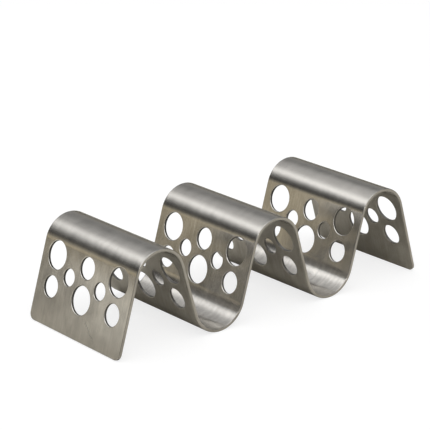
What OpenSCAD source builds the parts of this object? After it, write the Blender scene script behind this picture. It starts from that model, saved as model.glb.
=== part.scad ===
// Taco holder: one strip of stainless sheet, punched flat and folded into a wave.
// The wave has a ridge at each end and between the slots, and a round slot in every valley.
// It stands on the undersides of the slots and on the cut ends of its two legs.
// X runs along the row of slots, Y across the strip, Z up. The origin is on the table, in the middle.

/* [Overall] */
// Width of the strip, across the folds
width = 50.8; // [44:0.2:90]
// Height from the table to the top of the ridges
height = 35; // [32:0.5:60]
// Distance from one ridge to the next
pitch = 50; // [46:0.5:80]
// Number of slots, one fewer than the ridges
slots = 2; // [1:1:4]

/* [Sheet] */
// Thickness of the sheet
sheet = 1.1; // [0.8:0.1:2]
// Outer radius of the bend along each ridge
ridge_r = 10.25; // [6:0.05:12]
// Outer radius of the bend under each slot
slot_r = 11; // [6:0.05:12]

/* [Legs] */
// How far out from its ridge each leg meets the table
leg_reach = 16.75; // [12:0.05:30]
// Radius of the two lower corners of each leg
corner_r = 2.5; // [0.5:0.1:5]

/* [Holes] */
// Diameter of the large holes
large_d = 9.9; // [7:0.1:11]
// Diameter of the medium holes
medium_d = 7.6; // [5:0.1:9]
// Diameter of the small holes
small_d = 6; // [3:0.1:7]
// Sheet left between the outer large holes and the sides of the strip
side_margin = 3.25; // [1:0.05:6]
// Distance from one row of holes to the next
row_gap = 5.5; // [5:0.1:7]
// Distance from the ridge bend to the top row of holes, on the legs
leg_row = 4; // [2:0.1:8]

/* [Hidden] */
$fn = 96;

first_x = -pitch * slots / 2;

// Centres of the bends, in the XZ plane
ridge_z = height - ridge_r;
slot_z = slot_r;

// The slope that joins a ridge to a slot leaves both bends along their tangents.
// mid_r is the two bends' radii at the middle of the sheet, taken together.
mid_r = ridge_r + slot_r - sheet;
rise = ridge_z - slot_z;
reach = norm([pitch / 2, rise]);
slope_lean = atan2(pitch / 2, rise) - asin(mid_r / reach);
slope_run = sqrt(reach * reach - mid_r * mid_r);

// Each leg's inner face leaves its ridge bend along the tangent that meets the table at leg_reach.
// The leg's cut end is square to the sheet, so its inner edge is the one that stands on the table.
inner_r = ridge_r - sheet;
leg_line = norm([leg_reach, ridge_z]);
leg_lean = atan2(leg_reach, ridge_z) - asin(inner_r / leg_line);
leg_run = sqrt(leg_line * leg_line - inner_r * inner_r);

// The hole columns are spread evenly from the middle to the side margin
column_gap = (width / 2 - side_margin - large_d / 2) / 2;

// How far the cutting tools stand proud of the sheet
proud = 1;

// The profile is drawn the way the sheet is folded: each step starts where the last one ended,
// with the sheet's upper surface along the Y axis, its thickness on the +X side, and +Y the way on.

// A straight run, and what follows it
module run(length) {
    square([sheet, length]);
    translate([0, length]) children();
}

// What one bend leaves of a ring that the strip follows round its centre, and what follows it.
// The turn is in degrees, to the left where it is positive. The sheet comes in at the side away from it.
module bend(outer_r, turn) {
    side = sign(turn);
    start_x = side > 0 ? sheet - outer_r : outer_r;
    translate([start_x, 0]) {
        difference() {
            circle(r = outer_r);
            circle(r = outer_r - sheet);
            translate([-2 * outer_r, -4 * outer_r]) square(4 * outer_r);
            rotate(turn) translate([-2 * outer_r, 0]) square(4 * outer_r);
        }
        rotate(turn) translate([-start_x, 0]) children();
    }
}

// Everything from a ridge's bend to the far end of the strip
module wave_from(ridge) {
    before = ridge == 0 ? leg_lean : slope_lean;
    after = ridge == slots ? leg_lean : slope_lean;
    bend(ridge_r, before + after - 180)
        if (ridge == slots) run(leg_run);
        else run(slope_run) bend(slot_r, 180 - 2 * slope_lean) run(slope_run) wave_from(ridge + 1);
}

// The whole strip as seen along the folds, drawn from the foot of the first leg
module profile() {
    translate([first_x, ridge_z]) rotate(-leg_lean) translate([-ridge_r, -leg_run])
        run(leg_run) wave_from(0);
}

// Puts its children on the outside of the run that leaves a ridge on its +X side:
// X along the fold, Y up the sheet from the bend's edge, Z out of the sheet
module on_run(ridge, lean) {
    translate([first_x + pitch * ridge, 0, ridge_z]) rotate([0, -lean, 0])
        translate([ridge_r, 0, 0]) rotate([90, 0, 90]) children();
}

// One punched hole, through the sheet
module hole(column, row, d) {
    translate([column * column_gap, -row * row_gap, -sheet - proud])
        cylinder(d = d, h = sheet + 2 * proud);
}

// The eight holes of one face: large, medium, large over two small over medium, large, medium
module hole_pattern() {
    for (side = [-1, 1]) {
        hole(2 * side, 0, large_d);
        hole(side, 1, small_d);
        hole(2 * side, 2, medium_d);
    }
    hole(0, 0, medium_d);
    hole(0, 2, large_d);
}

// What rounds off the two lower corners of a leg
module corner_cuts() {
    for (side = [-1, 1]) scale([side, 1, 1])
        translate([width / 2 - corner_r, corner_r - leg_run, -sheet - proud])
            linear_extrude(height = sheet + 2 * proud) difference() {
                translate([0, -corner_r - proud]) square([corner_r + proud, corner_r + proud]);
                circle(r = corner_r);
            }
}

module leg_cuts(ridge) {
    on_run(ridge, leg_lean) {
        translate([0, -leg_row, 0]) hole_pattern();
        corner_cuts();
    }
}

// On a slope the pattern sits midway between the two bends
module slope_cuts(ridge) {
    on_run(ridge, slope_lean) translate([0, row_gap - slope_run / 2, 0]) hole_pattern();
}

module folded_strip() {
    color([0.72, 0.71, 0.69]) difference() {
        rotate([90, 0, 0]) linear_extrude(height = width, center = true) profile();
        for (i = [0 : slots - 1]) {
            slope_cuts(i);
            mirror([1, 0, 0]) slope_cuts(i);
        }
        leg_cuts(slots);
        mirror([1, 0, 0]) leg_cuts(slots);
    }
}

folded_strip();
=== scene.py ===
# %% [markdown]
# # A folded stand with two slots, in satin stainless sheet
#
# The real object is one strip of steel about 1.1 mm thick. It is punched flat and then folded into a wave.
# The CAD model gives its exact shape. This lesson makes the same strip again with rounded cut edges,
# a fine mesh and a steel finish, in metres and in the CAD model's own frame, and then lights it.
# The frame is loaded first. Nothing here may change the object's size.

import math

import bpy
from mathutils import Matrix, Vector


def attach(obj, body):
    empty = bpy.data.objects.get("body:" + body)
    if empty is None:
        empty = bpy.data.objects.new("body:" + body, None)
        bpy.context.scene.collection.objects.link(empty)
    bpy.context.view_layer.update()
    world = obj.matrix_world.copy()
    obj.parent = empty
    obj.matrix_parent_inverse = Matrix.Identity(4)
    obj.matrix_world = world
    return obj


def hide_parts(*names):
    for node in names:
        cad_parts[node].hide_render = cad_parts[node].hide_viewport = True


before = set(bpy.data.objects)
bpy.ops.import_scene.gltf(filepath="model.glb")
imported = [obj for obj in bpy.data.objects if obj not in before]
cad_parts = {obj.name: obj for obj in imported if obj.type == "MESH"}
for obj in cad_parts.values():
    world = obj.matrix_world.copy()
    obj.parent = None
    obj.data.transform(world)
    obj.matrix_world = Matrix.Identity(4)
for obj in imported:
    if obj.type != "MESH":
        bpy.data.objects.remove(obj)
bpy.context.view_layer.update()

# %% [markdown]
# ## Camera
#
# The photograph was taken with a long lens, from about 40 degrees to the left of the stand's front and about
# 19 degrees above it. A camera can be placed by hand, or worked out from measured points. Here its direction,
# distance and lens come from points that were measured on the folds, corners and holes, so it only has to be
# built: it looks at the aim point from that direction. The long lens keeps the strip's edges nearly parallel.

# %% Camera
MM = 0.001
IMAGE_SIDE = 430               # pixels, the photograph's width and height
camera_azimuth = math.radians(-39.5303)
camera_elevation = math.radians(18.5432)
camera_distance = 666.851 * MM
camera_aim = Vector((-1.7042, 5.4783, 28.3633)) * MM
focal_pixels = 1901.303        # the focal length, counted in the photograph's pixels

towards_camera = Vector((
    math.sin(camera_azimuth) * math.cos(camera_elevation),
    -math.cos(camera_azimuth) * math.cos(camera_elevation),
    math.sin(camera_elevation),
))
camera_data = bpy.data.cameras.new("photo_camera")
camera_data.sensor_width = 36.0
camera_data.lens = focal_pixels / IMAGE_SIDE * camera_data.sensor_width
camera_data.clip_start, camera_data.clip_end = 0.02, 20.0
camera = bpy.data.objects.new("photo_camera", camera_data)
camera.location = camera_aim + towards_camera * camera_distance
camera.rotation_mode = "QUATERNION"
camera.rotation_quaternion = (-towards_camera).to_track_quat("-Z", "Y")
bpy.context.scene.collection.objects.link(camera)
bpy.context.scene.camera = camera
print("lens, mm:", round(camera_data.lens, 2),
      "camera at, mm:", [round(c * 1000, 1) for c in camera.location])

# %% [markdown]
# ## The strip's sizes
#
# A folded strip is planned flat. Its length is the sum of its straight runs and of its bends, each measured
# along the middle of the sheet, which is neither stretched nor squeezed. Every bend here turns by the same
# angle, because the legs and the slopes all lean by the angle whose sine is 0.28. The flat length starts
# at the crown of the middle ridge, and the two halves mirror each other.

# %% Sizes of the flat blank
SHEET = 1.1 * MM
WIDTH = 50.8 * MM
HEIGHT = 35.0 * MM
RIDGE_R = 10.25 * MM - SHEET / 2          # radii along the middle of the sheet
SLOT_R = 11.0 * MM - SHEET / 2
SLOPE = 20.2 * MM                         # straight run between a ridge and a slot
LEG = 28.45 * MM                          # straight run from the last ridge to the foot
TURN = math.pi - 2 * math.asin(0.28)      # what each bend turns
CORNER_R = 2.5 * MM                       # the feet's rounded corners
EDGE_R = 0.22 * MM                        # the rounding of every cut edge: how deep it goes into the sheet
EDGE_REACH = 0.32 * MM                    # and how far it reaches over the surface

ridge_arc, slot_arc = RIDGE_R * TURN, SLOT_R * TURN
slot_start = ridge_arc / 2 + SLOPE
ridge_start = slot_start + slot_arc + SLOPE
leg_start = ridge_start + ridge_arc
half_length = leg_start + LEG
print("flat blank, mm:", round(2 * half_length * 1000, 2), "x", WIDTH * 1000)

# %% [markdown]
# ## Marking out the blank
#
# A sheet metal worker scribes the bend lines and centre-punches the holes before anything is cut.
# The mesh that goes into the node tree is that marking-out: a line of points along the blank, close together
# where it will bend, and one loose point for each hole, with a number that says which punch it takes.
# Each flat face has eight holes. Large and medium ones take turns in the row next to the ridge,
# small ones sit below the gaps, and the last row swaps large and medium.

# %% Marks on the blank
CELLS_PER_BEND = 48
COLUMN = 8.6 * MM
ROW = 5.5 * MM
TOP_ROW_ON_LEG = 4.0 * MM                 # below the ridge's bend
TOP_ROW_ON_SLOPE = SLOPE / 2 - ROW        # the pattern is centred on the slope
OVERSIZE = 1.0 * MM                       # how much bigger the plate is than the blank
PUNCHES = {"large": 9.9 * MM, "medium": 7.6 * MM, "small": 6.0 * MM}
FACE_PATTERN = [(-2, 0, "large"), (0, 0, "medium"), (2, 0, "large"), (-1, 1, "small"), (1, 1, "small"),
                (-2, 2, "medium"), (0, 2, "large"), (2, 2, "medium")]


def spaced(start, length, cells):
    return [start + length * i / cells for i in range(cells)]


stations = (spaced(0, ridge_arc / 2, CELLS_PER_BEND // 2) + spaced(ridge_arc / 2, SLOPE, 4)
            + spaced(slot_start, slot_arc, CELLS_PER_BEND) + spaced(slot_start + slot_arc, SLOPE, 4)
            + spaced(ridge_start, ridge_arc, CELLS_PER_BEND) + spaced(leg_start, LEG + OVERSIZE, 5)
            + [half_length + OVERSIZE])
along = [-s for s in reversed(stations[1:])] + stations
# For each flat face of one half: where its ridge bend ends, which way is down the face,
# and how far down it its top row lies
faces_of_half = [(ridge_arc / 2, 1, TOP_ROW_ON_SLOPE), (ridge_start, -1, TOP_ROW_ON_SLOPE),
                 (leg_start, 1, TOP_ROW_ON_LEG)]
marks = [(side * (edge + way * (top + row * ROW)), column * COLUMN, 0.0, 1 + list(PUNCHES).index(size))
         for side in (-1, 1) for edge, way, top in faces_of_half for column, row, size in FACE_PATTERN]

marked = bpy.data.meshes.new("marked_blank")
marked.from_pydata([(s, 0, 0) for s in along] + [m[:3] for m in marks],
                   [(i, i + 1) for i in range(len(along) - 1)], [])
punch_number = marked.attributes.new("punch", "INT", "POINT")
punch_number.data.foreach_set("value", [0] * len(along) + [m[3] for m in marks])
strip = bpy.data.objects.new("folded_strip_steel", marked)
bpy.context.scene.collection.objects.link(strip)
print("lines across the blank:", len(along), "holes:", len(marks))

# %% [markdown]
# ## A few helpers for node trees
#
# A node tree is easier to read in a script when each node is one line: its kind, its settings, and what goes
# into its sockets. A socket is given by its name or number, and takes a plain value or another node's output.

# %% Helpers: nodes and arithmetic


def node(tree, kind, sockets=None, **settings):
    """Adds one node, gives it its settings, and fills or links its sockets."""
    made = tree.nodes.new(kind)
    for name, value in settings.items():
        setattr(made, name, value)
    for key, value in (sockets or {}).items():
        for one in value if isinstance(value, list) else [value]:
            if isinstance(one, bpy.types.NodeSocket):
                tree.links.new(one, made.inputs[key])
            else:
                made.inputs[key].default_value = one
    return made


def calc(tree, operation, *values, clamp=False):
    """One step of arithmetic."""
    return node(tree, "ShaderNodeMath", dict(enumerate(values)), operation=operation,
                use_clamp=clamp).outputs[0]


def vector_calc(tree, operation, *values, result=0):
    """One step of arithmetic on vectors, and which of its results is wanted."""
    return node(tree, "ShaderNodeVectorMath", dict(enumerate(values)), operation=operation).outputs[result]


def vector(tree, x=0.0, y=0.0, z=0.0):
    return node(tree, "ShaderNodeCombineXYZ", {0: x, 1: y, 2: z}).outputs[0]


def parts(tree, value):
    """The x, y and z of a vector."""
    return node(tree, "ShaderNodeSeparateXYZ", {0: value}).outputs


# %% [markdown]
# ## Helpers for stored values and groups
#
# A point of the strip can carry notes, such as the place it had before the folding. One helper writes such a
# note and another reads it. A step that is needed more than once becomes a group with named inputs, like a
# function, so that a die or a bend is built once and then used again with other sizes.

# %% Helpers: stored values and groups


def stored(tree, name, kind="FLOAT_VECTOR"):
    """What was stored on the points under this name."""
    return node(tree, "GeometryNodeInputNamedAttribute", {"Name": name}, data_type=kind).outputs[0]


def store(tree, geometry, name, value, kind="FLOAT_VECTOR", domain="POINT"):
    return node(tree, "GeometryNodeStoreNamedAttribute", {"Geometry": geometry, "Name": name, "Value": value},
                data_type=kind, domain=domain).outputs[0]


def new_group(name, sockets):
    """A geometry node group and its named inputs. An input without a value is the one for geometry."""
    tree = bpy.data.node_groups.new(name, "GeometryNodeTree")
    for label, value in sockets.items():
        kind = "Geometry" if value is None else "Float"
        socket = tree.interface.new_socket(label, in_out="INPUT", socket_type="NodeSocket" + kind)
        if value is not None:
            socket.default_value = value
    tree.interface.new_socket("Geometry", in_out="OUTPUT", socket_type="NodeSocketGeometry")
    return tree, tree.nodes.new("NodeGroupInput").outputs


def use_group(tree, group, **sockets):
    """Puts a group to work in a tree; the sockets are given by their names with _ for a space."""
    values = {name.replace("_", " "): value for name, value in sockets.items()}
    return node(tree, "GeometryNodeGroup", values, node_tree=group).outputs[0]


def finish_group(tree, geometry):
    tree.links.new(geometry, tree.nodes.new("NodeGroupOutput").inputs[0])
    print(tree.name, "has", len(tree.nodes), "nodes")


# %% [markdown]
# ## One die for holes and outline
#
# A punched edge is never quite sharp: the punch drags the surface in a little, and deburring rounds it too.
# That could be a bevel afterwards, but here the cutting shape itself is flared, so that every cut leaves the
# rounding behind. The die starts as a cylinder of ten rings, whose points come in a known order, so a point's
# number says which quarter of the circle it belongs to and how far round it is. The four quarters can then
# move apart to make a rounded rectangle, or stay together for a round punch.

# %% The die: a barrel in four quarters
ARC_STEPS = 18                 # steps in each quarter of a die
EDGE_STEPS = 3                 # steps in the rounding of a cut edge
QUARTER_TURN = math.pi / 2

die, given = new_group("die", {"Radius": 5 * MM, "Spread X": 0.0, "Spread Y": 0.0, "Flare": 1.0,
                               "Sheet": SHEET, "Edge Radius": EDGE_R, "Edge Reach": EDGE_REACH})
quarter_points = ARC_STEPS + 1
rings = 2 * (EDGE_STEPS + 2)
barrel = node(die, "GeometryNodeMeshCylinder", {"Vertices": 4 * quarter_points, "Side Segments": rings - 1,
                                                "Radius": 1.0, "Depth": 2.0})
# Which quarter a point belongs to, and how far round it is. A quarter owns both of its end points.
place = calc(die, "FLOORED_MODULO", node(die, "GeometryNodeInputIndex").outputs[0], float(4 * quarter_points))
quarter = calc(die, "FLOOR", calc(die, "DIVIDE", calc(die, "ADD", place, 0.5), float(quarter_points)))
step = calc(die, "SUBTRACT", place, calc(die, "MULTIPLY", quarter, float(quarter_points)))
quarters_round = calc(die, "ADD", quarter, calc(die, "DIVIDE", step, float(ARC_STEPS)))
angle = calc(die, "MULTIPLY", quarters_round, QUARTER_TURN)
middle = calc(die, "MULTIPLY", calc(die, "ADD", quarter, 0.5), QUARTER_TURN)
print("a die's barrel:", rings, "rings of", 4 * quarter_points, "points")

# %% [markdown]
# ## The die's flare
#
# Where a ring meets the sheet's surface it moves out, along a quarter of an ellipse, and the outermost rings
# stand proud, so that the cut goes right through. With the flare turned inwards the same group makes the
# cookie cutter for the blank's outline.

# %% The die: rings and flare
PROUD = 0.6 * MM               # how far a die reaches past the sheet's surfaces
SEAM = 0.001 * MM              # keeps a die's rings off the sheet's own surfaces
# Which ring a point is on, counted from the middle of the sheet, and how far that ring has tilted from the
# wall towards the surface
ring_z = parts(die, node(die, "GeometryNodeInputPosition").outputs[0])[2]
level = calc(die, "SUBTRACT", calc(die, "MULTIPLY", calc(die, "ABSOLUTE", ring_z), (rings - 1) / 2), 0.5)
tilt = calc(die, "MULTIPLY", calc(die, "DIVIDE", level, float(EDGE_STEPS), clamp=True), QUARTER_TURN)
beyond = calc(die, "GREATER_THAN", level, EDGE_STEPS + 0.5)
flared = calc(die, "MULTIPLY", calc(die, "SUBTRACT", 1.0, calc(die, "COSINE", tilt)), given["Edge Reach"])
radius = calc(die, "ADD", given["Radius"], calc(die, "MULTIPLY", flared, given["Flare"]))
wall = calc(die, "SUBTRACT", calc(die, "DIVIDE", given["Sheet"], 2.0), given["Edge Radius"])
rounding = calc(die, "MULTIPLY", calc(die, "SINE", tilt), calc(die, "ADD", given["Edge Radius"], SEAM))
ring_height = calc(die, "ADD", calc(die, "ADD", wall, rounding), calc(die, "MULTIPLY", beyond, PROUD))


def side_of_die(turn, spread):
    away = calc(die, "MULTIPLY", calc(die, "SIGN", calc(die, turn, middle)), given[spread])
    return calc(die, "ADD", away, calc(die, "MULTIPLY", radius, calc(die, turn, angle)))


die_shape = vector(die, side_of_die("COSINE", "Spread X"), side_of_die("SINE", "Spread Y"),
                   calc(die, "MULTIPLY", ring_height, calc(die, "SIGN", ring_z)))
shaped = node(die, "GeometryNodeSetPosition", {"Geometry": barrel.outputs["Mesh"], "Position": die_shape})
welded = node(die, "GeometryNodeMergeByDistance", {"Geometry": shaped.outputs[0], "Distance": SEAM / 2})
finish_group(die, welded.outputs[0])

# %% [markdown]
# ## The press brake
#
# Each bend is one stroke of a press brake: what lies before the bend line stays, the sheet rolls round the
# tool's radius, and everything beyond swings with it. One formula does all three. It turns a point about
# the place where it leaves the flat line, by the share of the bend that it has passed. The outermost bend
# comes first, while the sheet round the next bend line is still flat, as on a real press brake.
# The same turn is given to the stored surface direction, from which the smooth shading is made at the end.

# %% The press brake
brake, given = new_group("press_brake", {"Geometry": None, "Start": 0.0, "Length": 0.0, "Turn": 0.0,
                                         "Table Height": HEIGHT - SHEET / 2})
from_crown = calc(brake, "ABSOLUTE", parts(brake, stored(brake, "blank"))[0])
passed = calc(brake, "SUBTRACT", from_crown, given["Start"])
share = calc(brake, "DIVIDE", passed, given["Length"], clamp=True)
turned = calc(brake, "MULTIPLY", share, given["Turn"])
bend_r = calc(brake, "DIVIDE", given["Length"], given["Turn"])      # below zero where the bend turns down
left_at = calc(brake, "ADD", given["Start"], calc(brake, "MULTIPLY", share, given["Length"]))
left_line = vector(brake, left_at, 0.0, given["Table Height"])
arm = vector_calc(brake, "SUBTRACT", node(brake, "GeometryNodeInputPosition").outputs[0], left_line)
swung, new_facing = [
    node(brake, "ShaderNodeVectorRotate", {"Vector": v, "Axis": (0, -1, 0), "Angle": turned}).outputs[0]
    for v in (arm, stored(brake, "facing"))]
forward = calc(brake, "MULTIPLY", bend_r, calc(brake, "SINE", turned))
upward = calc(brake, "MULTIPLY", bend_r, calc(brake, "SUBTRACT", 1.0, calc(brake, "COSINE", turned)))
rolled = vector(brake, calc(brake, "ADD", given["Start"], forward), 0.0,
                calc(brake, "ADD", given["Table Height"], upward))
bent = node(brake, "GeometryNodeSetPosition", {"Geometry": given["Geometry"],
                                               "Position": vector_calc(brake, "ADD", rolled, swung)})
finish_group(brake, store(brake, bent.outputs[0], "facing", new_facing))

# %% [markdown]
# ## Punching and folding in one tree
#
# The strip could be modelled face by face, but the real order of work is shorter and truer: shear a plate,
# trim its ends, punch the holes, then fold. A thin rounded section is swept along the scribed line, and makes
# a plate a little too long, whose cross lines let it bend smoothly.

# %% The strip's node tree: plate
STRIP_SIZES = {"Width": WIDTH, "Half Length": half_length, "Sheet": SHEET, "Edge Radius": EDGE_R,
               "Edge Reach": EDGE_REACH, "Corner Radius": CORNER_R, **PUNCHES}
tree, given = new_group("punched_and_folded_strip", {"Geometry": None, **STRIP_SIZES})


def takes(number):
    """True on the marks that take this punch. The scribed line has number 0."""
    return node(tree, "FunctionNodeCompare", {2: stored(tree, "punch", "INT"), 3: number},
                data_type="INT", operation="EQUAL").outputs[0]


sorted_marks = node(tree, "GeometryNodeSeparateGeometry", {
    "Geometry": given["Geometry"], "Selection": takes(0)})
scribed_line, centre_marks = sorted_marks.outputs
path = node(tree, "GeometryNodeMeshToCurve", {"Mesh": scribed_line}).outputs[0]
# The plate's section is rounded while it is still too thick, and then pressed to its thickness
press = calc(tree, "DIVIDE", given["Edge Radius"], given["Edge Reach"])
section = node(tree, "GeometryNodeCurvePrimitiveQuadrilateral", {
    "Width": given["Width"], "Height": calc(tree, "DIVIDE", given["Sheet"], press)})
rounded = node(tree, "GeometryNodeFilletCurve", {"Curve": section.outputs[0], "Count": EDGE_STEPS,
                                                 "Radius": given["Edge Reach"]}, mode="POLY")
pressed = node(tree, "GeometryNodeTransform", {
    "Geometry": rounded.outputs[0], "Scale": vector(tree, 1.0, press, 1.0)})
plate = node(tree, "GeometryNodeCurveToMesh", {"Curve": path, "Profile Curve": pressed.outputs[0],
                                               "Fill Caps": True}).outputs[0]
print("the plate is longer than the blank, mm:", round(2 * OVERSIZE * 1000, 2))

# %% [markdown]
# ## Trimming and punching
#
# The cookie cutter keeps what is inside the outline, with its rounded corners, and the punches, set on the
# centre marks, take away the holes. All holes are one cut, because each boolean costs time, and points that
# the cuts leave on top of each other are merged.

# %% The strip's node tree: trim and punch
corner_x = calc(tree, "SUBTRACT", given["Half Length"], given["Corner Radius"])
corner_y = calc(tree, "SUBTRACT", calc(tree, "DIVIDE", given["Width"], 2.0), given["Corner Radius"])
edge = {"Sheet": given["Sheet"], "Edge_Radius": given["Edge Radius"], "Edge_Reach": given["Edge Reach"]}
# The cookie cutter is a hair wider than the plate, so that it only cuts the ends
cookie = use_group(tree, die, Radius=given["Corner Radius"], Spread_X=corner_x,
                   Spread_Y=calc(tree, "ADD", corner_y, SEAM), Flare=-1.0, **edge)
blank = node(tree, "GeometryNodeMeshBoolean", {"Mesh 2": [plate, cookie]},
             operation="INTERSECT", solver="MANIFOLD")
punches = []
for number, size in enumerate(PUNCHES, 1):
    one_punch = use_group(tree, die, Radius=calc(tree, "DIVIDE", given[size], 2.0), **edge)
    punches.append(node(tree, "GeometryNodeInstanceOnPoints", {
        "Points": centre_marks, "Selection": takes(number), "Instance": one_punch}).outputs[0])
joined = node(tree, "GeometryNodeJoinGeometry", {0: punches}).outputs[0]
real_punches = node(tree, "GeometryNodeRealizeInstances", {0: joined}).outputs[0]
punched = node(tree, "GeometryNodeMeshBoolean", {"Mesh 1": blank.outputs[0], "Mesh 2": real_punches},
               operation="DIFFERENCE", solver="MANIFOLD")
cleaned = node(tree, "GeometryNodeMergeByDistance", {
    "Geometry": punched.outputs[0], "Distance": SEAM / 2}).outputs[0]
print("punches:", len(punches))

# %% [markdown]
# ## What each point remembers
#
# Before the folding, two things are stored on every point: its place on the flat blank, which the bends and
# the finish need, and the direction that the surface faces there. That direction is worked out rather than
# left to the mesh's triangles, which are long and thin after such cuts and would show as streaks on bright
# metal. On the sheet's surfaces it is straight up or down, on a cut it points sideways, and on the rounding
# it lies in between.

# %% The strip's node tree: what each point remembers
NO_LENGTH = 1e-6               # a point that reaches less than this past a corner's centre lies by a hole
MAP_SCALE = 100.0              # the strip's texture map counts in tens of millimetres
flat_place = node(tree, "GeometryNodeInputPosition").outputs[0]
flat = parts(tree, flat_place)
past = [calc(tree, "MAXIMUM", calc(tree, "SUBTRACT", calc(tree, "ABSOLUTE", flat[i]), corner), 0.0)
        for i, corner in enumerate((corner_x, corner_y))]
outline_way = vector(tree, *[calc(tree, "MULTIPLY", past[i], calc(tree, "SIGN", flat[i])) for i in (0, 1)])
nearest = node(tree, "GeometryNodeSampleNearest", {
    "Geometry": centre_marks, "Sample Position": flat_place}).outputs[0]
centre = node(tree, "GeometryNodeSampleIndex", {
    "Geometry": centre_marks, "Value": flat_place, "Index": nearest}, data_type="FLOAT_VECTOR").outputs[0]
by_hole = calc(tree, "COMPARE", calc(tree, "ADD", *past), 0.0, NO_LENGTH)
hole_way = vector_calc(tree, "MULTIPLY", vector_calc(tree, "SUBTRACT", centre, flat_place),
                       vector(tree, by_hole, by_hole))
sideways = vector_calc(tree, "NORMALIZE", vector_calc(tree, "ADD", outline_way, hole_way))
wall_half = calc(tree, "SUBTRACT", calc(tree, "DIVIDE", given["Sheet"], 2.0), given["Edge Radius"])
up_share = calc(tree, "DIVIDE", calc(tree, "SUBTRACT", calc(tree, "ABSOLUTE", flat[2]), wall_half),
                given["Edge Radius"], clamp=True)
side_share = calc(tree, "SQRT", calc(tree, "SUBTRACT", 1.0, calc(tree, "MULTIPLY", up_share, up_share)))
# Where the rounding reaches further over the surface than into the sheet, it faces up more than out
outward = calc(tree, "MULTIPLY", side_share, given["Edge Radius"])
up_reach = calc(tree, "MULTIPLY", up_share, given["Edge Reach"])
upward = calc(tree, "MULTIPLY", up_reach, calc(tree, "SIGN", flat[2]))
facing = vector_calc(tree, "NORMALIZE", vector_calc(
    tree, "ADD", vector_calc(tree, "MULTIPLY", sideways, vector(tree, outward, outward)),
    vector(tree, 0.0, 0.0, upward)))
remembered = store(tree, cleaned, "blank", flat_place)
# The finish finds its grain by a texture map: across the strip, then along it
on_map = vector_calc(tree, "MULTIPLY", vector(tree, flat[1], flat[0]), (MAP_SCALE, MAP_SCALE, 0.0))
mapped = store(tree, remembered, "strip_map", on_map, kind="FLOAT2", domain="CORNER")
facing_stored = store(tree, mapped, "facing", facing)
print("so far the tree has", len(tree.nodes), "nodes")

# %% [markdown]
# ## Folding both halves at once
#
# Each bend could be made on its own, left and right in turn. Instead the left half is laid over the right
# one, the three bends of one half are made, and it goes back to its own side. That is half the work, and the
# two halves are sure to match. The middle ridge is bent by half its turn on each side.

# %% The strip's node tree: fold
flip = vector(tree, calc(tree, "SIGN", parts(tree, stored(tree, "blank"))[0]), 1.0, 1.0)


def swap_left_half(geometry, lift=0.0):
    """Moves the left half over the right one, or back, with the directions that it remembers."""
    flipped = vector_calc(tree, "MULTIPLY", stored(tree, "facing"), flip)
    turned_facing = store(tree, geometry, "facing", flipped)
    here = node(tree, "GeometryNodeInputPosition").outputs[0]
    return node(tree, "GeometryNodeSetPosition", {
        "Geometry": turned_facing, "Position": vector_calc(tree, "MULTIPLY", here, flip),
        "Offset": (0.0, 0.0, lift)}).outputs[0]


folded = swap_left_half(facing_stored, lift=HEIGHT - SHEET / 2)
bends_of_half = [(ridge_start, ridge_arc, -TURN), (slot_start, slot_arc, TURN),
                 (0.0, ridge_arc / 2, -TURN / 2)]
for start, length, turn in bends_of_half:
    folded = use_group(tree, brake, Geometry=folded, Start=start, Length=length, Turn=turn)
folded = swap_left_half(folded)
smooth = node(tree, "GeometryNodeSetShadeSmooth", {"Geometry": folded}).outputs[0]
shaded = node(tree, "GeometryNodeSetMeshNormal", {"Mesh": smooth}, mode="FREE", domain="POINT")
tree.links.new(stored(tree, "facing"), shaded.inputs["Custom Normal"])
real = node(tree, "GeometryNodeRealizeInstances", {0: shaded.outputs[0]}).outputs[0]
stainless = bpy.data.materials.new("satin_stainless")
finished = node(tree, "GeometryNodeSetMaterial", {"Geometry": real, "Material": stainless}).outputs[0]
finish_group(tree, finished)

# %% [markdown]
# ## From the node tree to a plain mesh
#
# The tree is put to work as a modifier. Its sizes are set by each socket's identifier, because names may
# repeat. The result is then copied into a plain mesh. The volume is printed beside the triangles; the CAD
# model's is 12,085 mm3. In a closed skin every edge belongs to just two faces, and the edges that don't are
# counted.

# %% Make the strip
work = strip.modifiers.new("punch_and_fold", "NODES")
work.node_group = tree
for socket in tree.interface.items_tree:
    if socket.item_type == "SOCKET" and socket.in_out == "INPUT" and socket.name in STRIP_SIZES:
        work[socket.identifier] = STRIP_SIZES[socket.name]
evaluated = strip.evaluated_get(bpy.context.evaluated_depsgraph_get())
steel_mesh = bpy.data.meshes.new_from_object(evaluated)
strip.modifiers.remove(work)
strip.data = steel_mesh
steel_mesh.name = "folded_strip_steel"
steel_mesh.calc_loop_triangles()
corners = [v.co for v in steel_mesh.vertices]
volume = sum(corners[a].dot(corners[b].cross(corners[c])) / 6
             for a, b, c in (t.vertices for t in steel_mesh.loop_triangles))
edge_uses = {}
for polygon in steel_mesh.polygons:
    for key in polygon.edge_keys:
        edge_uses[key] = edge_uses.get(key, 0) + 1
print("strip:", len(steel_mesh.loop_triangles), "triangles,", round(volume * 1e9, 1), "mm3,",
      "open or doubled edges:", sum(1 for uses in edge_uses.values() if uses != 2))
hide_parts("folded_strip")
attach(strip, "root")

# %% [markdown]
# ## Satin stainless steel
#
# The sheet was ground in one direction before it was cut, so its fine grain runs along the strip, over the
# ridges and down the faces. Such a surface is sharp along the grain and blurred across it, which is why lamps
# show as long bands that follow the folds. A plain colour would look like paint, and a picture of steel would
# fit one size only. Noise on the strip's own map fits any size: five patterns, from the grain to wide stains,
# lighten and darken the metal a little, and two of them also change how rough it is.

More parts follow.
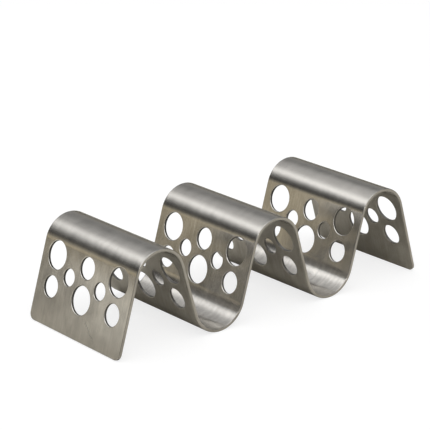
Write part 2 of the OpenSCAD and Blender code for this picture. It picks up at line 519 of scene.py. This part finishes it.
# %% Steel finish: grain, clouds and wear
TONES = {  # spots per 10 mm across the strip and along it, detail, seed, darkest and lightest tone
    "grain": (45.0, 0.7, 2.0, 7.7, 0.93, 1.07),
    "streaks": (9.0, 0.25, 3.0, 3.1, 0.96, 1.04),
    "smudges": (1.7, 1.2, 4.0, 8.4, 0.90, 1.08),
    "specks": (5.0, 3.0, 2.0, 5.2, 0.97, 1.03),
    "stains": (0.55, 0.45, 2.0, 2.9, 0.90, 1.09),
}
TONE_START, TONE_END = 0.36, 0.64         # the part of each noise that is laid over its tones
FACE_ROUGH = 0.19, 0.23                   # from a clean place to a smudged one
GRAIN_ROUGH = 0.02                        # what the grain takes from that or adds to it
stainless.use_nodes = True
steel = stainless.node_tree
steel.nodes.clear()
on_strip = node(steel, "ShaderNodeUVMap", uv_map="strip_map").outputs[0]


def cloud(across, along, detail, seed):
    """Noise on the strip's map, with so many spots per 10 mm each way."""
    stretched = node(steel, "ShaderNodeMapping", {
        "Vector": on_strip, "Location": (seed, seed, 0.0), "Scale": (across, along, 1.0)}).outputs[0]
    return node(steel, "ShaderNodeTexNoise", {"Vector": stretched, "Scale": 1.0, "Detail": detail}).outputs[0]


def spread(value, low, high, start=0.3, end=0.7):
    """The value's range from start to end, laid over low to high. Most of a noise lies from 0.3 to 0.7."""
    return node(steel, "ShaderNodeMapRange", {
        "Value": value, "From Min": start, "From Max": end, "To Min": low, "To Max": high}).outputs[0]


def between(share, at_none, at_full):
    """One number where the share is 0, and another where it is 1."""
    return spread(share, at_none, at_full, start=0.0, end=1.0)


patterns = {name: cloud(*row[:4]) for name, row in TONES.items()}
tone = 1.0
for name, row in TONES.items():
    tone = calc(steel, "MULTIPLY", tone, spread(patterns[name], *row[4:], start=TONE_START, end=TONE_END))
face_rough = calc(steel, "ADD", spread(patterns["smudges"], *FACE_ROUGH),
                  spread(patterns["grain"], -GRAIN_ROUGH, GRAIN_ROUGH))
print("patterns in the steel:", ", ".join(patterns))

# %% [markdown]
# ## Ridges wiped clean
#
# Hands and cloths rub the ridges more than the faces between them, so the patterns fade there and the long
# band of light stays even. A painted mask could say where the ridges are, but the place on the flat blank,
# which every point remembers, says it exactly.

# %% Steel finish: ridges wiped clean
RIDGE_FADE = 2 * MM                       # how softly the clean part begins
CLEAN_SHARE = 0.7                         # how much of the patterns is gone there
blank_place = node(steel, "ShaderNodeAttribute", attribute_name="blank").outputs["Vector"]
along_blank, across_blank, through_sheet = [
    calc(steel, "ABSOLUTE", value) for value in parts(steel, blank_place)]
left_over = 1.0
for start, end in ((-ridge_arc / 2, ridge_arc / 2), (ridge_start, leg_start)):
    begun = spread(along_blank, 0.0, 1.0, start=start - RIDGE_FADE, end=start + RIDGE_FADE)
    not_over = spread(along_blank, 1.0, 0.0, start=end - RIDGE_FADE, end=end + RIDGE_FADE)
    on_ridge = calc(steel, "MULTIPLY", begun, not_over)
    left_over = calc(steel, "MULTIPLY_ADD", on_ridge, -CLEAN_SHARE, left_over)
tone = calc(steel, "MULTIPLY_ADD", calc(steel, "SUBTRACT", tone, 1.0), left_over, 1.0)
print("the ridges keep", round(100 * (1 - CLEAN_SHARE)), "percent of the patterns")

# %% [markdown]
# ## Punched walls and their rims
#
# A punch leaves a dull, rough wall in each hole, and its tone is darkened further as painted shade. Where
# that wall meets the ground face a brighter rim is a painted highlight, and round the outline, which was
# sheared, the rim is darkened as painted shade. How deep a point lies in the sheet tells wall, rim and face
# apart.

# %% Steel finish: punched walls and rims
FACE_DEPTH = SHEET / 2                    # from the middle of the sheet to its ground faces
OUTLINE_ZONE = 0.5 * MM                   # a cut that is nearer than this to the outline is the outline's own
# the punched walls' tone: partly their dull cut, partly painted shade
WALL_TONE_WITH_PAINTED_SHADE = 0.3
WALL_ROUGH = 0.22                         # how much rougher than a face
RIM_FADES, RIM_GONE = 0.03 * MM, 0.005 * MM      # how far below the face a rim ends
# painted shade on the outline's rim, and a painted highlight on each hole's rim
OUTLINE_RIM_PAINTED_SHADE, HOLE_RIM_PAINTED_HIGHLIGHT = -0.3, 0.2         # what a rim's tone loses or gains
in_cut = spread(through_sheet, 1.0, 0.0, start=FACE_DEPTH - EDGE_R, end=FACE_DEPTH - EDGE_R / 2)
inside_outline = calc(steel, "MULTIPLY",
                      calc(steel, "LESS_THAN", across_blank, WIDTH / 2 - OUTLINE_ZONE),
                      calc(steel, "LESS_THAN", along_blank, half_length - OUTLINE_ZONE))
punched_wall = calc(steel, "MULTIPLY", in_cut, inside_outline)
above_wall = spread(through_sheet, 0.0, 1.0, start=FACE_DEPTH - EDGE_R / 2, end=FACE_DEPTH - EDGE_R / 3)
below_face = spread(through_sheet, 1.0, 0.0, start=FACE_DEPTH - RIM_FADES, end=FACE_DEPTH - RIM_GONE)
rim = calc(steel, "MULTIPLY", above_wall, below_face)
# Painted light on the rims: painted shade round the outline, a painted highlight round each hole
rim_painted_light = calc(steel, "MULTIPLY_ADD", rim, between(inside_outline, OUTLINE_RIM_PAINTED_SHADE, HOLE_RIM_PAINTED_HIGHLIGHT), 1.0)
# Painted shade, beyond the dull cut, darkens the punched walls
tone = calc(steel, "MULTIPLY", tone, between(punched_wall, 1.0, WALL_TONE_WITH_PAINTED_SHADE))
tone = calc(steel, "MULTIPLY", tone, rim_painted_light)
rough = calc(steel, "ADD", face_rough, between(punched_wall, 0.0, WALL_ROUGH))
print("a rim, mm below its face: from", round(EDGE_R / 2 * 1000, 3), "to", round(RIM_GONE * 1000, 3))

# %% [markdown]
# ## One fine scratch
#
# The left leg has one thin dark scratch near its foot. A groove that fine would need a far denser mesh, so
# the shader draws it. Its two ends are given on the flat blank. How far a point lies off the line between
# them, and how far along it, gives a soft-edged mark, and a little noise makes it wander.

# %% Steel finish: one fine scratch
SCRATCH_ENDS = [(19.9 * MM, -3.8 * MM), (26.9 * MM, -11.3 * MM)]      # down the left leg, across the strip
SCRATCH_FULL, SCRATCH_GONE = 0.04 * MM, 0.24 * MM                     # how far off its line
SCRATCH_FADE = 2 * MM                     # how gently it begins and ends
SCRATCH_WANDER = 0.5 * MM
SCRATCH_TONE, SCRATCH_ROUGH = 0.72, 0.12
ends = [Vector((-leg_start - down, across, 0.0)) for down, across in SCRATCH_ENDS]
scratch_length = (ends[1] - ends[0]).length
scratch_way = (ends[1] - ends[0]).normalized()


def measured(direction):
    """How far a point on the blank lies from the scratch's start, in one direction."""
    reach = vector_calc(steel, "DOT_PRODUCT", blank_place, direction, result="Value")
    return calc(steel, "SUBTRACT", reach, ends[0].dot(direction))


wander = spread(cloud(1.6, 1.6, 1.0, seed=6.1), -SCRATCH_WANDER, SCRATCH_WANDER)
sideways_reach = measured(Vector((-scratch_way.y, scratch_way.x, 0.0)))
off_line = calc(steel, "ABSOLUTE", calc(steel, "ADD", sideways_reach, wander))
travelled = measured(scratch_way)
scratch = calc(steel, "GREATER_THAN", parts(steel, blank_place)[2], 0.0)        # only on the outer face
for limit in (spread(off_line, 1.0, 0.0, start=SCRATCH_FULL, end=SCRATCH_GONE),
              spread(travelled, 0.0, 1.0, start=0.0, end=SCRATCH_FADE),
              spread(travelled, 1.0, 0.0, start=scratch_length - SCRATCH_FADE, end=scratch_length)):
    scratch = calc(steel, "MULTIPLY", scratch, limit)
tone = calc(steel, "MULTIPLY", tone, between(scratch, 1.0, SCRATCH_TONE))
rough = calc(steel, "ADD", rough, between(scratch, 0.0, SCRATCH_ROUGH))
print("scratch, mm:", round(scratch_length * 1000, 1))

# %% [markdown]
# ## The steel's shader
#
# All of it meets here. The tone multiplies the steel's colour. Two shallow bumps, one wide and one small,
# stand for the sheet's slight unevenness, without which every reflection would be ruler-straight. The shader
# is a metal whose blur has a direction, and the strip's map gives that direction, because it follows every
# fold. What is the same all over the strip is set on the shader's own sockets.

# %% Steel shader
STEEL = (0.605, 0.585, 0.55)
WAVE_DEPTH, DENT_DEPTH = 0.12 * MM, 0.05 * MM
colour = vector_calc(steel, "MULTIPLY", STEEL, vector(steel, tone, tone, tone))
waves = node(steel, "ShaderNodeBump", {
    "Height": cloud(0.3, 0.3, 1.0, seed=4.4), "Strength": 1.0, "Distance": WAVE_DEPTH}).outputs[0]
uneven = node(steel, "ShaderNodeBump", {
    "Height": cloud(2.6, 1.1, 2.0, seed=2.6), "Strength": 1.0, "Distance": DENT_DEPTH,
    "Normal": waves}).outputs[0]
along_folds = node(steel, "ShaderNodeTangent", direction_type="UV_MAP", uv_map="strip_map").outputs[0]
shader = node(steel, "ShaderNodeBsdfPrincipled", {
    "Base Color": colour, "Metallic": 1.0, "Roughness": rough, "Anisotropic": 0.86,
    "Normal": uneven, "Tangent": along_folds})
node(steel, "ShaderNodeOutputMaterial", {"Surface": shader.outputs[0]})
print("steel has", len(steel.nodes), "nodes")

# %% [markdown]
# ## The floor
#
# The stand is shown on a wide floor of plain white paper.

# %% Floor
FLOOR_SIDE = 4.0


def stage_piece(name, points, faces, finish):
    """A plain mesh for the stage, and its material's empty node tree."""
    mesh = bpy.data.meshes.new(name)
    mesh.from_pydata(points, [], faces)
    piece = bpy.data.objects.new(name, mesh)
    bpy.context.scene.collection.objects.link(piece)
    material = bpy.data.materials.new(finish)
    mesh.materials.append(material)
    material.use_nodes = True
    material.node_tree.nodes.clear()
    return piece, material.node_tree


corner = FLOOR_SIDE / 2
floor, paper = stage_piece("floor", [(-corner, -corner, 0), (corner, -corner, 0), (corner, corner, 0),
                                     (-corner, corner, 0)], [(0, 1, 2, 3)], "white_paper")
print("floor, m:", FLOOR_SIDE, "x", FLOOR_SIDE)

# %% [markdown]
# ## White paper
#
# Lamps strong enough to make the paper white would burn out the steel, so for the camera most of its white is
# its own, and what the lamps add keeps the stand's soft shadow. The steel mirrors another paper: close to the
# stand it is only lit, so the arches stay dark below, and further out it has a little white of its own.
# Light Path tells the kinds of ray apart.

# %% Floor finish
SEEN_OWN_WHITE, SEEN_PAPER = 0.78, (0.28, 0.28, 0.28)
MIRRORED_OWN_WHITE, MIRRORED_PAPER = 0.12, (0.53, 0.505, 0.445)
OWN_WHITE_FROM, OWN_WHITE_FULL = 0.15, 0.6       # metres from the stand's middle
LIGHTING_PAPER = (0.73, 0.70, 0.63)              # what soft light from the floor is coloured by


def lit_paper(lit):
    return node(paper, "ShaderNodeBsdfDiffuse", {"Color": (*lit, 1)}).outputs[0]


def white_paper(own, lit):
    """Paper that adds its own white to what the lamps give it."""
    glow = node(paper, "ShaderNodeEmission", {"Color": (1, 1, 1, 1), "Strength": own}).outputs[0]
    return node(paper, "ShaderNodeAddShader", {0: lit_paper(lit), 1: glow}).outputs[0]


ray = node(paper, "ShaderNodeLightPath").outputs
in_metal = calc(paper, "MAXIMUM", ray["Is Glossy Ray"], ray["Is Transmission Ray"])
on_floor = node(paper, "ShaderNodeTexCoord").outputs["Object"]
from_middle = vector_calc(paper, "LENGTH", on_floor, result="Value")
far_white = node(paper, "ShaderNodeMapRange", {
    "Value": from_middle, "From Min": OWN_WHITE_FROM, "From Max": OWN_WHITE_FULL,
    "To Min": 0.0, "To Max": MIRRORED_OWN_WHITE}).outputs[0]
unseen = node(paper, "ShaderNodeMixShader", {
    0: in_metal, 1: lit_paper(LIGHTING_PAPER), 2: white_paper(far_white, MIRRORED_PAPER)})
surface = node(paper, "ShaderNodeMixShader", {
    0: ray["Is Camera Ray"], 1: unseen.outputs[0], 2: white_paper(SEEN_OWN_WHITE, SEEN_PAPER)})
node(paper, "ShaderNodeOutputMaterial", {"Surface": surface.outputs[0]})
print("paper has", len(paper.nodes), "nodes")

# %% [markdown]
# ## The studio wall
#
# Bright metal is seen by what it mirrors. Lamps alone would leave it with a few hard spots on black, and an
# image of a room would need a file. So a round wall of cloth stands about the set, and only the steel sees
# it. The table gives its tone at each elevation. On the left it has a soft foot, which lights the leg, a dark
# gap, and a bright panel higher up, which draws the long light band along each ridge.

# %% Studio wall: shape
WALL_R = 1.9
WALL_STEPS = 96
WALL_TONES = [  # elevation in degrees, tone on the left, tone on the right
    (0, 0.05, 0.05), (3, 0.35, 0.05), (5, 0.51, 0.07), (8, 0.49, 0.15), (12, 0.27, 0.36), (16, 0.05, 0.38),
    (20, 0.03, 0.28), (24, 0.13, 0.27), (28, 0.20, 0.26), (32, 0.40, 0.17), (35, 0.76, 0.15),
    (38, 1.55, 0.26), (40.5, 2.30, 0.42), (42.5, 1.75, 0.56), (45, 1.15, 0.70), (48, 0.85, 0.75),
    (54, 0.70, 0.70)]
wall_slope = math.tan(math.radians(WALL_TONES[-1][0]))
wall_height = WALL_R * wall_slope
ring = [(WALL_R * math.cos(a), WALL_R * math.sin(a))
        for a in (2 * math.pi * i / WALL_STEPS for i in range(WALL_STEPS))]
wall, cloth = stage_piece(
    "studio_wall", [(x, y, z) for z in (0.0, wall_height) for x, y in ring],
    [(i, i + WALL_STEPS, (i + 1) % WALL_STEPS + WALL_STEPS, (i + 1) % WALL_STEPS) for i in range(WALL_STEPS)],
    "studio_cloth")
wall.visible_camera = wall.visible_diffuse = wall.visible_shadow = False
print("wall, m:", WALL_R, "radius,", round(wall_height, 2), "high")

# %% [markdown]
# ## Tones up the wall
#
# A ramp lays the table's tones over the wall's height. Elevations are angles, so each is first turned into a
# height on the wall. The foot is tinted warm, as the leg is in the photograph, and the tint is gone where the
# dark gap begins.

# %% Studio wall: tones
WARM = (1.14, 1.01, 0.75)                 # the foot's tint
WARM_GONE, WARM_FADE = 14, 4              # degrees: where the tint ends, and over how much it fades
wall_x, wall_y, wall_z = parts(cloth, node(cloth, "ShaderNodeTexCoord").outputs["Object"])
height_share = calc(cloth, "DIVIDE", wall_z, wall_height)


def ramp(value, stops):
    """Colours for a value from 0 to 1. A new ramp has two stops already."""
    made = node(cloth, "ShaderNodeValToRGB", {0: value})
    for number, (position, stop_colour) in enumerate(stops):
        stop = made.color_ramp.elements[number] if number < 2 else made.color_ramp.elements.new(position)
        stop.position = position
        stop.color = (*stop_colour, 1)
    return made.outputs[0]


def tones(column):
    """The wall's colours from its foot to its top, by one column of the table."""
    stops = []
    for row in WALL_TONES:
        warm = min(1.0, max(0.0, (WARM_GONE - row[0]) / WARM_FADE))
        tinted = [row[column] * (1 + warm * (tint - 1)) for tint in WARM]
        stops.append((math.tan(math.radians(row[0])) / wall_slope, tinted))
    return ramp(height_share, stops)


print("tones in the table:", len(WALL_TONES))

# %% [markdown]
# ## Round the wall
#
# What the leg and the ridges mirror towards the camera lies at the back of the wall's left half. Only there
# does the cloth follow the table's left column. Towards the front the left half is plain cloth, a little
# brighter higher up, so that the stand looks natural from its other sides too, and the right half follows
# its own column. Smooth steps lead from one to the next.

# %% Studio wall: left, right and back
LEFT_FROM, LEFT_FULL = 0.12, -0.36        # across the set, as shares of the radius
BACK_FROM, BACK_FULL = -0.1, 0.35         # from the front to the back, likewise
BACK_LEVELS = [(-0.1, 0.9), (0.2, 0.9), (0.4, 1.2), (0.6, 1.0)]       # how far back, strength
PLAIN_CLOTH = (1, 0.98, 0.93, 1)
PLAIN_FOOT, PLAIN_RISE = 0.3, 0.45        # its strength at the foot, and what it gains up to the top


def smooth_step(value, start, end):
    return node(cloth, "ShaderNodeMapRange", {"Value": value, "From Min": start, "From Max": end},
                interpolation_type="SMOOTHSTEP").outputs[0]


leftness = smooth_step(wall_x, LEFT_FROM * WALL_R, LEFT_FULL * WALL_R)
y_share = calc(cloth, "DIVIDE", wall_y, WALL_R)
at_the_back = smooth_step(y_share, BACK_FROM, BACK_FULL)
back_level = ramp(calc(cloth, "MULTIPLY_ADD", y_share, 0.5, 0.5),
                  [((back + 1) / 2, [level] * 3) for back, level in BACK_LEVELS])
plain_level = calc(cloth, "MULTIPLY_ADD", height_share, PLAIN_RISE, PLAIN_FOOT)
plain, striped, right = [
    node(cloth, "ShaderNodeEmission", {"Color": tint, "Strength": level}).outputs[0]
    for tint, level in ((PLAIN_CLOTH, plain_level), (tones(1), back_level), (tones(2), 1.0))]
left = node(cloth, "ShaderNodeMixShader", {0: at_the_back, 1: plain, 2: striped}).outputs[0]
both = node(cloth, "ShaderNodeMixShader", {0: leftness, 1: right, 2: left})
node(cloth, "ShaderNodeOutputMaterial", {"Surface": both.outputs[0]})
print("cloth has", len(cloth.nodes), "nodes")

# %% [markdown]
# ## A card close to the leg
#
# Photographers put small white cards beside metal to lift one side of it. This one stands to the left of the
# stand and a little behind it. The leg mirrors it as a soft pale patch on its near side, and nothing but the
# steel sees it. A lamp there would be as bright from every side, but a card is cut to the patch's shape.

# %% Card
CARD_X = -130 * MM
CARD_OUTLINE = [  # how far back and how high, in millimetres
    (20, 4), (38, 4), (52, 16), (80, 19), (80, 29), (56, 26), (20, 19)]
card, board = stage_piece("white_card", [(CARD_X, back * MM, high * MM) for back, high in CARD_OUTLINE],
                          [range(len(CARD_OUTLINE))], "card_board")
card.visible_camera = card.visible_diffuse = card.visible_shadow = False
card_glow = node(board, "ShaderNodeEmission", {"Color": (1, 0.97, 0.88, 1), "Strength": 0.88})
node(board, "ShaderNodeOutputMaterial", {"Surface": card_glow.outputs[0]})
print("card, corners:", len(CARD_OUTLINE))

# %% [markdown]
# ## Light
#
# The white room is the world, which is pure white for the camera and dimmer for everything else. A large
# softbox above the stand gives its soft shadow, and a small window lamp in front puts a spark on the turned
# edges. Both are area lamps that look at the stand's middle, because a lamp's own size makes its light soft.

# %% World and lamps
SKY = 0.6
LAMPS = [  # name, side in metres, watts, place
    ("softbox", 1.2, 5.2, (-0.30, -0.15, 1.05)),
    ("window", 0.16, 0.8, (-0.22, -1.14, 0.30))]
world = bpy.data.worlds.new("studio")
bpy.context.scene.world = world
world.use_nodes = True
room = world.node_tree
room.nodes.clear()
to_camera = node(room, "ShaderNodeLightPath").outputs["Is Camera Ray"]
sky_level = calc(room, "MULTIPLY_ADD", to_camera, 1.0 - SKY, SKY)
sky = node(room, "ShaderNodeBackground", {"Color": (1, 1, 1, 1), "Strength": sky_level}).outputs[0]
node(room, "ShaderNodeOutputWorld", {"Surface": sky})
for name, side, watts, at in LAMPS:
    lamp = bpy.data.lights.new(name, "AREA")
    lamp.size, lamp.energy = side, watts
    placed = bpy.data.objects.new(name, lamp)
    placed.location = at
    placed.rotation_mode = "QUATERNION"
    placed.rotation_quaternion = (-placed.location).to_track_quat("-Z", "Y")
    bpy.context.scene.collection.objects.link(placed)
    print(name, "lamp, W:", watts)
bpy.context.scene.view_settings.view_transform = "Standard"
